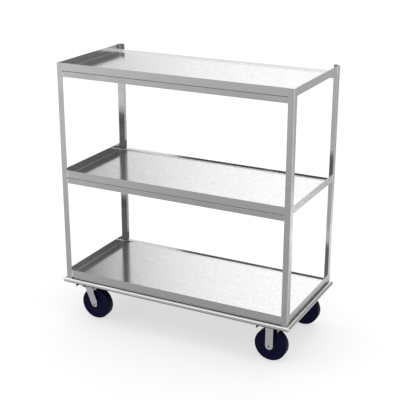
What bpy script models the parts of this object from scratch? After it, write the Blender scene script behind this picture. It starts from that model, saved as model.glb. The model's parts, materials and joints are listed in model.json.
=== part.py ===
"""Banquet cart: three tray shelves in a frame of steel angle, on two swivel and two rigid casters.

Metres, +Z up, X along the cart, front at -Y. The origin is on the floor, below the middle of the cart.
The swivel casters are at the left end (-X), the rigid ones at the right end.
"""

import math

import bmesh
import bpy
from mathutils import Matrix, Vector

# Clearances between pieces that touch
GAP = 0.0003
OVERRUN = 0.002
MERGE_DISTANCE = 0.00001

# Frame, measured over the outer faces of the corner posts
FRAME_LENGTH = 1.530
FRAME_DEPTH = 0.7145
SHELF_PITCH = 0.6725

# Corner posts: equal angle
POST_LEG = 0.0381
POST_WALL = 0.004
POST_CORNER_RADIUS = 0.003

# Tray shelves: folded sheet, high on three sides and low at the rear
TRAY_HEIGHT = 0.0496
TRAY_SHEET = 0.0016
TRAY_BEND = 0.004
REAR_LIP = 0.0115
REAR_LIP_BEND = 0.010

# Shelf rails: angle under the long edges of the upper two trays
SHELF_RAIL_HEIGHT = 0.034
SHELF_RAIL_LEG = 0.025
SHELF_RAIL_WALL = 0.003
SHELF_RAIL_RADIUS = 0.0015

# Tray stiffeners: hat section
STIFFENER_BRIM = 0.012
STIFFENER_CROWN = 0.036
STIFFENER_HEIGHT = 0.020
STIFFENER_WALL = 0.002
STIFFENER_BEND = 0.004

# Base rails: channel, set back from the frame's face
BASE_SETBACK = 0.0093
BASE_RAIL_HEIGHT = 0.0405
BASE_RAIL_FLANGE = 0.025
BASE_RAIL_WALL = 0.003
BASE_RAIL_BEND = 0.005

# Bumper: half-round section, open at the back
BUMPER_WIDTH = 0.029
BUMPER_HEIGHT = 0.032
BUMPER_WALL = 0.0025
BUMPER_CORNER_RADIUS = 0.012
BUMPER_RISE = 0.0027

# Cross channels over the casters: inverted, flanges down
CHANNEL_SIDE_CLEARANCE = 0.007
CHANNEL_HEIGHT = 0.0203
CHANNEL_WALL = 0.004
CHANNEL_BEND = 0.006

# Casters, common sizes
CASTER_INSET_X = 0.130
CASTER_INSET_Y = 0.091
PLATE_LENGTH = 0.114
PLATE_WIDTH = 0.102
PLATE_WALL = 0.006
PLATE_CORNER_RADIUS = 0.008
BOLT_SPACING_X = 0.092
BOLT_SPACING_Y = 0.0667
BOLT_RADIUS = 0.0048
BOLT_HOLE_RADIUS = 0.0055
BOLT_HEX = 0.0143
BOLT_HEAD_HEIGHT = 0.006
BOLT_NUT_HEIGHT = 0.008

# Wheels
WHEEL_RADIUS = 0.1016
WHEEL_WIDTH = 0.047
WHEEL_CHAMFER = 0.003
WHEEL_BORE = 0.0135
HUB_RADIUS = 0.022
HUB_LENGTH = 0.066

# Roller bearing, spanner bushing and axle
CAGE_OUTER = 0.0122
CAGE_INNER = 0.0098
CAGE_INSET = 0.001
ROLLER_RADIUS = 0.0017
BUSHING_OUTER = 0.0095
BUSHING_OVERHANG = 0.002
AXLE_RADIUS = 0.00635
AXLE_HEAD_RADIUS = 0.011
AXLE_HEAD_HEIGHT = 0.0045
AXLE_SOCKET_RADIUS = 0.004
AXLE_SOCKET_DEPTH = 0.003
AXLE_NUT_HEX = 0.019
AXLE_NUT_HEIGHT = 0.011
AXLE_TIP = 0.002

# Forks
FORK_WALL = 0.0065
FORK_BEND = 0.009
SWIVEL_TRAIL = 0.041
SWIVEL_LEG_WIDTH = 0.047
SWIVEL_LEG_END_RISE = 0.006
SWIVEL_CROWN_BACK = 0.050
SWIVEL_CROWN_FRONT = 0.056
SWIVEL_CROWN_CLEARANCE = 0.0055
SWIVEL_BACK_FILLET = 0.008
SWIVEL_FRONT_FILLET = 0.018
RIGID_LEG_WIDTH = 0.049
RIGID_FILLET = 0.012

# Ball race of the swivel casters
BALL_RADIUS = 0.00476
BALL_CIRCLE = 0.034
BALL_CAGE_WALL = 0.002
RACE_WIDTH = 0.012
LOWER_RACE_RISE = 0.0028
UPPER_RACE_RISE = 0.00688
SKIRT_RADIUS = 0.0465
SKIRT_WALL = 0.0025
SKIRT_CLEARANCE = 0.0015
KINGPIN_RADIUS = 0.008
KINGPIN_HEAD_RADIUS = 0.0127
KINGPIN_TIP = 0.0006
KINGPIN_NUT_HEX = 0.024
KINGPIN_NUT_HEIGHT = 0.0062

# Facets
FILLET_STEPS = 4
CORNER_STEPS = 3
WHEEL_FACETS = 32
RACE_FACETS = 24
SHAFT_FACETS = 12
BOLT_FACETS = 8
HEX_FACETS = 6
ROLLER_COUNT = 10
ROLLER_STEPS = 2
BALL_COUNT = 12
GROOVE_STEPS = 3
SMOOTH_ANGLE = math.radians(35)

# Places that several pieces share
FORK_HALF_GAP = HUB_LENGTH / 2 + BUSHING_OVERHANG + GAP
FORK_HALF_WIDTH = FORK_HALF_GAP + FORK_WALL
SWIVEL_CROWN_BOTTOM = 2 * WHEEL_RADIUS + SWIVEL_CROWN_CLEARANCE
SWIVEL_CROWN_TOP = SWIVEL_CROWN_BOTTOM + FORK_WALL
BALL_LEVEL = SWIVEL_CROWN_TOP + LOWER_RACE_RISE + GAP + BALL_RADIUS
PLATE_BOTTOM = BALL_LEVEL + BALL_RADIUS + GAP + UPPER_RACE_RISE
CASTER_HEIGHT = PLATE_BOTTOM + PLATE_WALL
CHANNEL_UNDERSIDE = CASTER_HEIGHT + GAP
CHANNEL_TOP = CHANNEL_UNDERSIDE + CHANNEL_WALL
BASE_RAIL_BOTTOM = CHANNEL_TOP + GAP
TRAY_LEVEL = BASE_RAIL_BOTTOM + BASE_RAIL_HEIGHT + GAP
BUMPER_BOTTOM = BASE_RAIL_BOTTOM + BUMPER_RISE
POST_FOOT = BUMPER_BOTTOM + BUMPER_HEIGHT + GAP
POST_HEAD = TRAY_LEVEL + 2 * SHELF_PITCH + TRAY_HEIGHT
TRAY_HALF_LENGTH = FRAME_LENGTH / 2 - POST_WALL - GAP
TRAY_HALF_DEPTH = FRAME_DEPTH / 2 - POST_WALL - GAP
CASTER_X = FRAME_LENGTH / 2 - CASTER_INSET_X
CASTER_Y = FRAME_DEPTH / 2 - CASTER_INSET_Y
SIDES = {"front": -1, "rear": 1}
TRAY_LEVELS = {
    "bottom": TRAY_LEVEL,
    "middle": TRAY_LEVEL + SHELF_PITCH,
    "top": TRAY_LEVEL + 2 * SHELF_PITCH,
}


# Materials

def material(name, colour, roughness, metallic):
    """A plain surface with one colour, roughness and metallic value."""
    surface = bpy.data.materials.new(name)
    surface.use_nodes = True
    shader = surface.node_tree.nodes["Principled BSDF"]
    shader.inputs["Base Color"].default_value = (*colour, 1.0)
    shader.inputs["Roughness"].default_value = roughness
    shader.inputs["Metallic"].default_value = metallic
    surface.diffuse_color = (*colour, 1.0)
    return surface


# Shapes

def filleted(corners):
    """Closed outline through corners (u, v, radius), each rounded by its radius."""
    points = []
    for index, (u, v, radius) in enumerate(corners):
        corner = Vector((u, v))
        if radius == 0:
            points.append(corner)
            continue
        before = (Vector(corners[index - 1][:2]) - corner).normalized()
        after = (Vector(corners[(index + 1) % len(corners)][:2]) - corner).normalized()
        half_angle = before.angle(after) / 2
        reach = radius / math.tan(half_angle)
        centre = corner + (before + after).normalized() * radius / math.sin(half_angle)
        first = corner + before * reach - centre
        last = corner + after * reach - centre
        start = math.atan2(first.y, first.x)
        sweep = math.remainder(math.atan2(last.y, last.x) - start, math.tau)
        for step in range(FILLET_STEPS + 1):
            angle = start + sweep * step / FILLET_STEPS
            points.append(centre + radius * Vector((math.cos(angle), math.sin(angle))))
    return [p for p, q in zip(points, points[1:] + points[:1]) if (p - q).length > MERGE_DISTANCE]


def arc(centre_u, centre_v, radius, start_degrees, end_degrees, steps):
    """Points (u, v) along an arc, both ends included."""
    sweep = end_degrees - start_degrees
    angles = [math.radians(start_degrees + sweep * step / steps) for step in range(steps + 1)]
    return [(centre_u + radius * math.cos(a), centre_v + radius * math.sin(a)) for a in angles]


def lofted(rings, closed=False):
    """Closed body through rings of points. Without capped ends the last ring meets the first."""
    shape = bmesh.new()
    known = {}

    def corner(point):
        key = tuple(round(value / MERGE_DISTANCE) for value in point)
        if key not in known:
            known[key] = shape.verts.new(point)
        return known[key]

    loops = [[corner(point) for point in ring] for ring in rings]
    pairs = list(zip(loops, loops[1:] + loops[:1])) if closed else list(zip(loops, loops[1:]))
    for lower, upper in pairs:
        for index in range(len(lower)):
            quad = [lower[index - 1], lower[index], upper[index], upper[index - 1]]
            face = list(dict.fromkeys(quad))
            if len(face) > 2:
                shape.faces.new(face)
    if not closed:
        shape.faces.new(list(dict.fromkeys(loops[0])))
        shape.faces.new(list(dict.fromkeys(loops[-1])))
    bmesh.ops.recalc_face_normals(shape, faces=shape.faces)
    mesh = bpy.data.meshes.new("shape")
    shape.to_mesh(mesh)
    shape.free()
    mesh.shade_smooth()
    mesh.set_sharp_from_angle(angle=SMOOTH_ANGLE)
    return mesh


def prism(outline, start, end, axis):
    """The outline drawn out along an axis, from start to end."""
    place = {
        "X": lambda u, v, w: (w, u, v),
        "Y": lambda u, v, w: (u, w, v),
        "Z": lambda u, v, w: (u, v, w),
    }[axis]
    return lofted([[place(u, v, w) for u, v in outline] for w in (start, end)])


def turned(profile, facets, around_flats=False):
    """The closed profile (radius, z) turned about Z. Around flats, the facets' flats lie at the radius."""
    stretch = 1 / math.cos(math.pi / facets) if around_flats else 1
    rings = []
    for index in range(facets):
        angle = math.tau * (index + 0.5) / facets
        across = stretch * math.cos(angle)
        along = stretch * math.sin(angle)
        rings.append([(radius * across, radius * along, z) for radius, z in profile])
    return lofted(rings, closed=True)


def tube(inner, outer, start, end):
    """Profile of a plain sleeve."""
    return [(inner, start), (outer, start), (outer, end), (inner, end)]


def rod(radius, start, end, facets, around_flats=False):
    """Solid round or hexagonal bar along Z."""
    return turned([(0, start), (radius, start), (radius, end), (0, end)], facets, around_flats)


def moved(mesh, x, y, z):
    """The same mesh, shifted."""
    mesh.transform(Matrix.Translation((x, y, z)))
    return mesh


def combined(base, *steps):
    """The base after each (operation, mesh) in turn, as one plain mesh."""
    body = bpy.data.objects.new("body", base)
    bpy.context.scene.collection.objects.link(body)
    tools = []
    for operation, mesh in steps:
        tool = bpy.data.objects.new("tool", mesh)
        tool.hide_render = True
        tool.display_type = "WIRE"
        bpy.context.scene.collection.objects.link(tool)
        tools.append(tool)
        cut = body.modifiers.new(operation, "BOOLEAN")
        cut.operation = operation
        cut.solver = "EXACT"
        cut.object = tool
    evaluated = body.evaluated_get(bpy.context.evaluated_depsgraph_get())
    settled = bpy.data.meshes.new_from_object(evaluated)
    for item in [body, *tools]:
        bpy.data.objects.remove(item)
    settled.shade_smooth()
    settled.set_sharp_from_angle(angle=SMOOTH_ANGLE)
    return settled


def mitred_run(outline, half_length, corner_radius=0):
    """A length of section along X with mitred ends. The outline is (outward, z), outward is -Y.

    half_length is measured in the plane where outward is zero. With a corner radius, the ends follow
    the corner round as far as the mitre.
    """
    centre = max(outward for outward, _ in outline) - corner_radius
    trim = GAP / math.sqrt(2)

    def place(side, outward, z, turn):
        if corner_radius == 0 or outward <= centre:
            return (side * (half_length + outward - trim), -outward, z)
        beyond = outward - centre
        along = half_length + centre - trim + beyond * math.sin(turn)
        return (side * along, -centre - beyond * math.cos(turn), z)

    steps = CORNER_STEPS if corner_radius else 0
    turns = [math.radians(45) * step / CORNER_STEPS for step in range(steps + 1)]
    ends = [(-1, turn) for turn in reversed(turns)] + [(1, turn) for turn in turns]
    return lofted([[place(side, o, z, turn) for o, z in outline] for side, turn in ends])


# Objects

def piece(name, mesh, surface, location=(0, 0, 0), rotation=(0, 0, 0), parent=None):
    """One named sub-part."""
    mesh.materials.clear()
    mesh.materials.append(surface)
    item = bpy.data.objects.new(name, mesh)
    item.location = location
    item.rotation_euler = rotation
    item.parent = parent
    bpy.context.scene.collection.objects.link(item)
    return item


def axis_point(name, location, parent=None):
    """Empty on a joint's axis."""
    empty = bpy.data.objects.new(name, None)
    empty.location = location
    empty.parent = parent
    bpy.context.scene.collection.objects.link(empty)
    return empty


# Frame

def post_mesh():
    """Angle with its outer corner at the origin and its legs along +X and +Y."""
    outline = filleted([
        (0, 0, POST_CORNER_RADIUS),
        (POST_LEG, 0, 0),
        (POST_LEG, POST_WALL, 0),
        (POST_WALL, POST_WALL, 0),
        (POST_WALL, POST_LEG, 0),
        (0, POST_LEG, 0),
    ])
    return prism(outline, 0, POST_HEAD - POST_FOOT, "Z")


def build_posts(steel):
    mesh = post_mesh()
    corners = [("front_left", -1, -1), ("front_right", 1, -1), ("rear_right", 1, 1), ("rear_left", -1, 1)]
    for quarter, (corner, side_x, side_y) in enumerate(corners):
        place = (side_x * FRAME_LENGTH / 2, side_y * FRAME_DEPTH / 2, POST_FOOT)
        piece(f"post_{corner}", mesh, steel, place, (0, 0, quarter * math.pi / 2))


def bend_inset(radius, height):
    """How far a bend's skin lies inside its wall's at a height above the bend's foot."""
    below = max(radius - height, 0)
    return radius - math.sqrt(radius**2 - below**2)


def tray_skin(offset):
    """Rings of the tray's outer skin, or of its inner one where the offset is the sheet, from the floor up."""
    sharp = TRAY_BEND - offset
    soft = REAR_LIP_BEND - offset
    angles = [math.pi / 2 * step / FILLET_STEPS for step in range(FILLET_STEPS + 1)]
    heights = {radius * (1 - math.cos(angle)) for radius in (sharp, soft) for angle in angles}
    rings = []
    for height in sorted(heights):
        x = TRAY_HALF_LENGTH - offset - bend_inset(sharp, height)
        front = TRAY_HALF_DEPTH - offset - bend_inset(sharp, height)
        rear = TRAY_HALF_DEPTH - offset - bend_inset(soft, height)
        z = offset + height
        rings.append([(-x, -front, z), (x, -front, z), (x, rear, z), (-x, rear, z)])
    x = TRAY_HALF_LENGTH - offset
    y = TRAY_HALF_DEPTH - offset
    rings.append([(-x, -y, TRAY_HEIGHT), (x, -y, TRAY_HEIGHT), (x, y, TRAY_HEIGHT), (-x, y, TRAY_HEIGHT)])
    return rings


def tray_mesh():
    """Tray on its underside: outer skin up, over the rim and down inside, then the rear wall is cut low.

    The rear bend is wider than the others, for goods to slide out over it.
    """
    rings = tray_skin(0) + tray_skin(TRAY_SHEET)[::-1]
    half_cut = TRAY_HALF_LENGTH - TRAY_BEND
    inner_face = TRAY_HALF_DEPTH - REAR_LIP_BEND
    above = [(-half_cut, inner_face), (half_cut, inner_face), (half_cut, TRAY_HALF_DEPTH + OVERRUN),
             (-half_cut, TRAY_HALF_DEPTH + OVERRUN)]
    cutter = prism(above, TRAY_SHEET + REAR_LIP, TRAY_HEIGHT + OVERRUN, "Z")
    return combined(lofted(rings), ("DIFFERENCE", cutter))


def stiffener_mesh(half_length):
    """Hat section hung below a tray, its brims up against the sheet."""
    outer = STIFFENER_CROWN / 2
    inner = outer - STIFFENER_WALL
    edge = outer + STIFFENER_BRIM
    inner_bend = STIFFENER_BEND - STIFFENER_WALL
    outline = filleted([
        (-edge, 0, 0),
        (-inner, 0, 0),
        (-inner, STIFFENER_WALL - STIFFENER_HEIGHT, inner_bend),
        (inner, STIFFENER_WALL - STIFFENER_HEIGHT, inner_bend),
        (inner, 0, 0),
        (edge, 0, 0),
        (edge, -STIFFENER_WALL, 0),
        (outer, -STIFFENER_WALL, 0),
        (outer, -STIFFENER_HEIGHT, STIFFENER_BEND),
        (-outer, -STIFFENER_HEIGHT, STIFFENER_BEND),
        (-outer, -STIFFENER_WALL, 0),
        (-edge, -STIFFENER_WALL, 0),
    ])
    return prism(outline, -half_length, half_length, "Y")


def build_trays(steel):
    mesh = tray_mesh()
    between_rails = TRAY_HALF_DEPTH - SHELF_RAIL_LEG - GAP
    between_base_rails = FRAME_DEPTH / 2 - BASE_SETBACK - BASE_RAIL_FLANGE - GAP
    hats = {
        "bottom": stiffener_mesh(between_base_rails),
        "middle": stiffener_mesh(between_rails),
    }
    hats["top"] = hats["middle"]
    for level, height in TRAY_LEVELS.items():
        piece(f"tray_{level}", mesh, steel, (0, 0, height))
        piece(f"tray_stiffener_{level}", hats[level], steel, (0, 0, height - GAP))


def shelf_rail_mesh():
    """Angle with its outer top edge on the X axis, one leg down and one leg inward (+Y)."""
    outline = filleted([
        (0, 0, SHELF_RAIL_RADIUS),
        (SHELF_RAIL_LEG, 0, 0),
        (SHELF_RAIL_LEG, -SHELF_RAIL_WALL, 0),
        (SHELF_RAIL_WALL, -SHELF_RAIL_WALL, 0),
        (SHELF_RAIL_WALL, -SHELF_RAIL_HEIGHT, 0),
        (0, -SHELF_RAIL_HEIGHT, 0),
    ])
    return prism(outline, -TRAY_HALF_LENGTH, TRAY_HALF_LENGTH, "X")


def build_shelf_rails(steel):
    mesh = shelf_rail_mesh()
    for level in ("middle", "top"):
        for side, sign in SIDES.items():
            place = (0, sign * TRAY_HALF_DEPTH, TRAY_LEVELS[level] - GAP)
            turn = math.pi if side == "rear" else 0
            piece(f"shelf_rail_{level}_{side}", mesh, steel, place, (0, 0, turn))


def base_rail_outline():
    """Channel with its web outward and its flanges inward."""
    inner_bend = BASE_RAIL_BEND - BASE_RAIL_WALL
    top = BASE_RAIL_HEIGHT
    return filleted([
        (0, 0, BASE_RAIL_BEND),
        (0, top, BASE_RAIL_BEND),
        (-BASE_RAIL_FLANGE, top, 0),
        (-BASE_RAIL_FLANGE, top - BASE_RAIL_WALL, 0),
        (-BASE_RAIL_WALL, top - BASE_RAIL_WALL, inner_bend),
        (-BASE_RAIL_WALL, BASE_RAIL_WALL, inner_bend),
        (-BASE_RAIL_FLANGE, BASE_RAIL_WALL, 0),
        (-BASE_RAIL_FLANGE, 0, 0),
    ])


def bumper_outline():
    """Half-round nose outward, open at the back, two lips against the base rail."""
    nose = BUMPER_HEIGHT / 2
    inside = BUMPER_WIDTH - BUMPER_WALL
    return filleted([
        (0, 0, 0),
        (BUMPER_WIDTH, 0, nose),
        (BUMPER_WIDTH, BUMPER_HEIGHT, nose),
        (0, BUMPER_HEIGHT, 0),
        (0, BUMPER_HEIGHT - BUMPER_WALL, 0),
        (inside, BUMPER_HEIGHT - BUMPER_WALL, nose - BUMPER_WALL),
        (inside, BUMPER_WALL, nose - BUMPER_WALL),
        (0, BUMPER_WALL, 0),
    ])


def build_perimeter(name, outline, setback, bottom, corner_radius, surface):
    """Four mitred runs round the frame, each the same section."""
    half_x = FRAME_LENGTH / 2 - setback
    half_y = FRAME_DEPTH / 2 - setback
    long_run = mitred_run(outline, half_x, corner_radius)
    short_run = mitred_run(outline, half_y, corner_radius)
    piece(f"{name}_front", long_run, surface, (0, -half_y, bottom))
    piece(f"{name}_right", short_run, surface, (half_x, 0, bottom), (0, 0, math.pi / 2))
    piece(f"{name}_rear", long_run, surface, (0, half_y, bottom), (0, 0, math.pi))
    piece(f"{name}_left", short_run, surface, (-half_x, 0, bottom), (0, 0, -math.pi / 2))


def build_base_rails(steel):
    build_perimeter("base_rail", base_rail_outline(), BASE_SETBACK, BASE_RAIL_BOTTOM, 0, steel)


def build_bumpers(steel):
    setback = BASE_SETBACK - GAP
    build_perimeter("bumper", bumper_outline(), setback, BUMPER_BOTTOM, BUMPER_CORNER_RADIUS, steel)


def bolt_places():
    """The four plate bolts round a caster's centre."""
    return [(sx * BOLT_SPACING_X / 2, sy * BOLT_SPACING_Y / 2) for sx in (-1, 1) for sy in (-1, 1)]


def channel_mesh():
    """Inverted channel, its web's underside in the XY plane, with holes for the caster bolts."""
    half = PLATE_LENGTH / 2 + CHANNEL_SIDE_CLEARANCE + CHANNEL_WALL
    inner_bend = CHANNEL_BEND - CHANNEL_WALL
    foot = CHANNEL_WALL - CHANNEL_HEIGHT
    outline = filleted([
        (-half, foot, 0),
        (-half, CHANNEL_WALL, CHANNEL_BEND),
        (half, CHANNEL_WALL, CHANNEL_BEND),
        (half, foot, 0),
        (half - CHANNEL_WALL, foot, 0),
        (half - CHANNEL_WALL, 0, inner_bend),
        (CHANNEL_WALL - half, 0, inner_bend),
        (CHANNEL_WALL - half, foot, 0),
    ])
    half_length = FRAME_DEPTH / 2 - BASE_SETBACK
    holes = []
    for sign in SIDES.values():
        for x, y in bolt_places():
            drill = rod(BOLT_HOLE_RADIUS, -OVERRUN, CHANNEL_WALL + OVERRUN, BOLT_FACETS, around_flats=True)
            holes.append(("DIFFERENCE", moved(drill, x, sign * CASTER_Y + y, 0)))
    return combined(prism(outline, -half_length, half_length, "Y"), *holes)


def build_channels(steel):
    mesh = channel_mesh()
    for side, sign in (("left", -1), ("right", 1)):
        piece(f"caster_channel_{side}", mesh, steel, (sign * CASTER_X, 0, CHANNEL_UNDERSIDE))


# Casters: meshes are drawn about the plate's centre line, with the floor at z = 0

def plate_bolts():
    """Head, shank and nut of each plate bolt, to be joined to the plate that carries them."""
    parts = []
    hexagon = BOLT_HEX / 2
    head_bottom = PLATE_BOTTOM - BOLT_HEAD_HEIGHT
    nut_bottom = CHANNEL_TOP + GAP
    nut_top = nut_bottom + BOLT_NUT_HEIGHT
    for x, y in bolt_places():
        head = rod(hexagon, head_bottom, PLATE_BOTTOM + OVERRUN, HEX_FACETS, around_flats=True)
        shank = rod(BOLT_RADIUS, CASTER_HEIGHT - OVERRUN, nut_top + OVERRUN, BOLT_FACETS)
        nut = rod(hexagon, nut_bottom, nut_top, HEX_FACETS, around_flats=True)
        parts += [("UNION", moved(mesh, x, y, 0)) for mesh in (head, shank, nut)]
    return parts


def upper_race():
    """Ring with the balls' upper groove, and the skirt that covers them."""
    groove = arc(BALL_CIRCLE, BALL_LEVEL, BALL_RADIUS + GAP, 30, 150, GROOVE_STEPS)
    face = groove[0][1]
    inner = BALL_CIRCLE - RACE_WIDTH / 2
    skirt_inner = SKIRT_RADIUS - SKIRT_WALL
    skirt_foot = SWIVEL_CROWN_TOP + SKIRT_CLEARANCE
    top = PLATE_BOTTOM + OVERRUN
    profile = [(inner, face), (inner, top), (SKIRT_RADIUS, top), (SKIRT_RADIUS, skirt_foot),
               (skirt_inner, skirt_foot), (skirt_inner, face)]
    return turned(profile + groove, RACE_FACETS)


def lower_race():
    """Raised ring on the fork's crown with the balls' lower groove."""
    groove = arc(BALL_CIRCLE, BALL_LEVEL, BALL_RADIUS + GAP, 210, 330, GROOVE_STEPS)
    face = groove[0][1]
    inner = BALL_CIRCLE - RACE_WIDTH / 2
    outer = BALL_CIRCLE + RACE_WIDTH / 2
    bottom = SWIVEL_CROWN_TOP - OVERRUN
    profile = [(outer, face), (outer, bottom), (inner, bottom), (inner, face)]
    return turned(profile + groove, RACE_FACETS)


def kingpin_profile(clearance):
    """Countersunk head flush with the plate, and shank. The clearance widens it into its own hole."""
    radius = KINGPIN_RADIUS + clearance
    head = KINGPIN_HEAD_RADIUS + clearance
    top = CASTER_HEIGHT + (OVERRUN if clearance else -GAP)
    head_foot = CASTER_HEIGHT - (KINGPIN_HEAD_RADIUS - KINGPIN_RADIUS)
    tip = SWIVEL_CROWN_BOTTOM - GAP - KINGPIN_NUT_HEIGHT - KINGPIN_TIP
    rim = CASTER_HEIGHT - GAP
    return [(0, tip), (radius, tip), (radius, head_foot), (head, rim), (head, top), (0, top)]


def swivel_plate_mesh():
    """Mounting plate, upper race and bolts, with the kingpin's countersunk hole."""
    half_x = PLATE_LENGTH / 2
    half_y = PLATE_WIDTH / 2
    outline = filleted([(sx * half_x, sy * half_y, PLATE_CORNER_RADIUS)
                        for sx, sy in ((-1, -1), (1, -1), (1, 1), (-1, 1))])
    plate = prism(outline, PLATE_BOTTOM, CASTER_HEIGHT, "Z")
    hole = turned(kingpin_profile(GAP), SHAFT_FACETS, around_flats=True)
    return combined(plate, ("UNION", upper_race()), *plate_bolts(), ("DIFFERENCE", hole))


def ball_ring_mesh():
    """Balls held in a flat cage ring."""
    inner = BALL_CIRCLE - BALL_CAGE_WALL
    outer = BALL_CIRCLE + BALL_CAGE_WALL
    bottom = BALL_LEVEL - BALL_CAGE_WALL / 2
    cage = turned(tube(inner, outer, bottom, bottom + BALL_CAGE_WALL), RACE_FACETS)
    balls = bmesh.new()
    for index in range(BALL_COUNT):
        angle = math.tau * index / BALL_COUNT
        centre = (BALL_CIRCLE * math.cos(angle), BALL_CIRCLE * math.sin(angle), BALL_LEVEL)
        place = Matrix.Translation(centre)
        bmesh.ops.create_icosphere(balls, subdivisions=1, radius=BALL_RADIUS, matrix=place)
    mesh = bpy.data.meshes.new("balls")
    balls.to_mesh(mesh)
    balls.free()
    return combined(cage, ("UNION", mesh))


def fork_section(top, length_back, length_front):
    """Inverted U, wide enough for the wheel's hub, drawn out along X."""
    inner_bend = FORK_BEND - FORK_WALL
    outline = filleted([
        (-FORK_HALF_WIDTH, 0, 0),
        (-FORK_HALF_WIDTH, top, FORK_BEND),
        (FORK_HALF_WIDTH, top, FORK_BEND),
        (FORK_HALF_WIDTH, 0, 0),
        (FORK_HALF_GAP, 0, 0),
        (FORK_HALF_GAP, top - FORK_WALL, inner_bend),
        (-FORK_HALF_GAP, top - FORK_WALL, inner_bend),
        (-FORK_HALF_GAP, 0, 0),
    ])
    return prism(outline, -length_back - OVERRUN, length_front + OVERRUN, "X")


def axle_hole(x):
    """Cutter through both legs."""
    reach = FORK_HALF_WIDTH + OVERRUN
    drill = rod(AXLE_RADIUS + GAP, -reach, reach, SHAFT_FACETS, around_flats=True)
    drill.transform(Matrix.Translation((x, 0, WHEEL_RADIUS)) @ Matrix.Rotation(math.pi / 2, 4, "X"))
    return drill


def side_cutter(corners):
    """Everything of the fork that its side outline keeps."""
    return prism(filleted(corners), -FORK_HALF_WIDTH - OVERRUN, FORK_HALF_WIDTH + OVERRUN, "Y")


def swivel_fork_mesh():
    """Crown with the lower race, and two legs that lean from the pivot back to the axle."""
    half = SWIVEL_LEG_WIDTH / 2
    end = Vector((SWIVEL_TRAIL, WHEEL_RADIUS + SWIVEL_LEG_END_RISE))
    root = Vector((0, SWIVEL_CROWN_BOTTOM))
    along = (root - end).normalized()
    across = Vector((along.y, -along.x)) * half
    tip = end - along * half
    climb = (SWIVEL_CROWN_BOTTOM - tip.y) / along.y
    back_root = tip - across + along * (climb + across.y / along.y)
    front_root = tip + across + along * (climb - across.y / along.y)
    corners = [
        (-SWIVEL_CROWN_BACK, SWIVEL_CROWN_TOP + OVERRUN, 0),
        (-SWIVEL_CROWN_BACK, SWIVEL_CROWN_BOTTOM, 0),
        (back_root.x, back_root.y, SWIVEL_BACK_FILLET),
        (*(tip - across), half),
        (*(tip + across), half),
        (front_root.x, front_root.y, SWIVEL_FRONT_FILLET),
        (SWIVEL_CROWN_FRONT, SWIVEL_CROWN_BOTTOM, 0),
        (SWIVEL_CROWN_FRONT, SWIVEL_CROWN_TOP + OVERRUN, 0),
    ]
    hole_foot = SWIVEL_CROWN_BOTTOM - OVERRUN
    hole_head = SWIVEL_CROWN_TOP + OVERRUN
    kingpin_hole = rod(KINGPIN_RADIUS + GAP, hole_foot, hole_head, SHAFT_FACETS, around_flats=True)
    return combined(
        fork_section(SWIVEL_CROWN_TOP, SWIVEL_CROWN_BACK, SWIVEL_CROWN_FRONT),
        ("INTERSECT", side_cutter(corners)),
        ("UNION", lower_race()),
        ("DIFFERENCE", kingpin_hole),
        ("DIFFERENCE", axle_hole(SWIVEL_TRAIL)),
    )


def rigid_fork_mesh():
    """Plate and two straight strap legs in one piece, with the plate bolts."""
    half = RIGID_LEG_WIDTH / 2
    half_plate = PLATE_LENGTH / 2
    plate_bottom = CASTER_HEIGHT - FORK_WALL
    corners = [
        (-half_plate, CASTER_HEIGHT + OVERRUN, 0),
        (-half_plate, plate_bottom, 0),
        (-half, plate_bottom, RIGID_FILLET),
        (-half, WHEEL_RADIUS - half, half),
        (half, WHEEL_RADIUS - half, half),
        (half, plate_bottom, RIGID_FILLET),
        (half_plate, plate_bottom, 0),
        (half_plate, CASTER_HEIGHT + OVERRUN, 0),
    ]
    return combined(
        fork_section(CASTER_HEIGHT, half_plate, half_plate),
        ("INTERSECT", side_cutter(corners)),
        *plate_bolts(),
        ("DIFFERENCE", axle_hole(0)),
    )


def wheel_mesh():
    """Solid wheel with a raised hub, turned about Z."""
    half = WHEEL_WIDTH / 2
    hub = HUB_LENGTH / 2
    shoulder = WHEEL_RADIUS - WHEEL_CHAMFER
    upper = [
        (WHEEL_RADIUS, half - WHEEL_CHAMFER),
        (shoulder, half),
        (HUB_RADIUS, half),
        (HUB_RADIUS, hub),
        (WHEEL_BORE, hub),
    ]
    lower = [(radius, -z) for radius, z in reversed(upper)]
    return turned(upper + lower, WHEEL_FACETS, around_flats=True)


def roller_bearing_mesh():
    """Sleeve cage with rollers that stand out of it, along Z."""
    half = HUB_LENGTH / 2 - CAGE_INSET
    outline = []
    roller_circle = WHEEL_BORE - GAP - ROLLER_RADIUS
    squares = CAGE_OUTER**2 + roller_circle**2 - ROLLER_RADIUS**2
    half_chord = math.acos(squares / (2 * CAGE_OUTER * roller_circle))
    chord_x = CAGE_OUTER * math.cos(half_chord) - roller_circle
    reach = math.atan2(CAGE_OUTER * math.sin(half_chord), chord_x)
    for index in range(ROLLER_COUNT):
        middle = math.tau * index / ROLLER_COUNT
        centre = (roller_circle * math.cos(middle), roller_circle * math.sin(middle))
        start = math.degrees(middle - reach)
        outline += arc(*centre, ROLLER_RADIUS, start, math.degrees(middle + reach), ROLLER_STEPS)
    bore = rod(CAGE_INNER, -half - OVERRUN, half + OVERRUN, SHAFT_FACETS, around_flats=True)
    return combined(prism(outline, -half, half, "Z"), ("DIFFERENCE", bore))


def bushing_mesh():
    """Spanner bushing, clamped between the legs, along Z."""
    half = HUB_LENGTH / 2 + BUSHING_OVERHANG
    return turned(tube(AXLE_RADIUS + GAP, BUSHING_OUTER, -half, half), SHAFT_FACETS)


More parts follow.
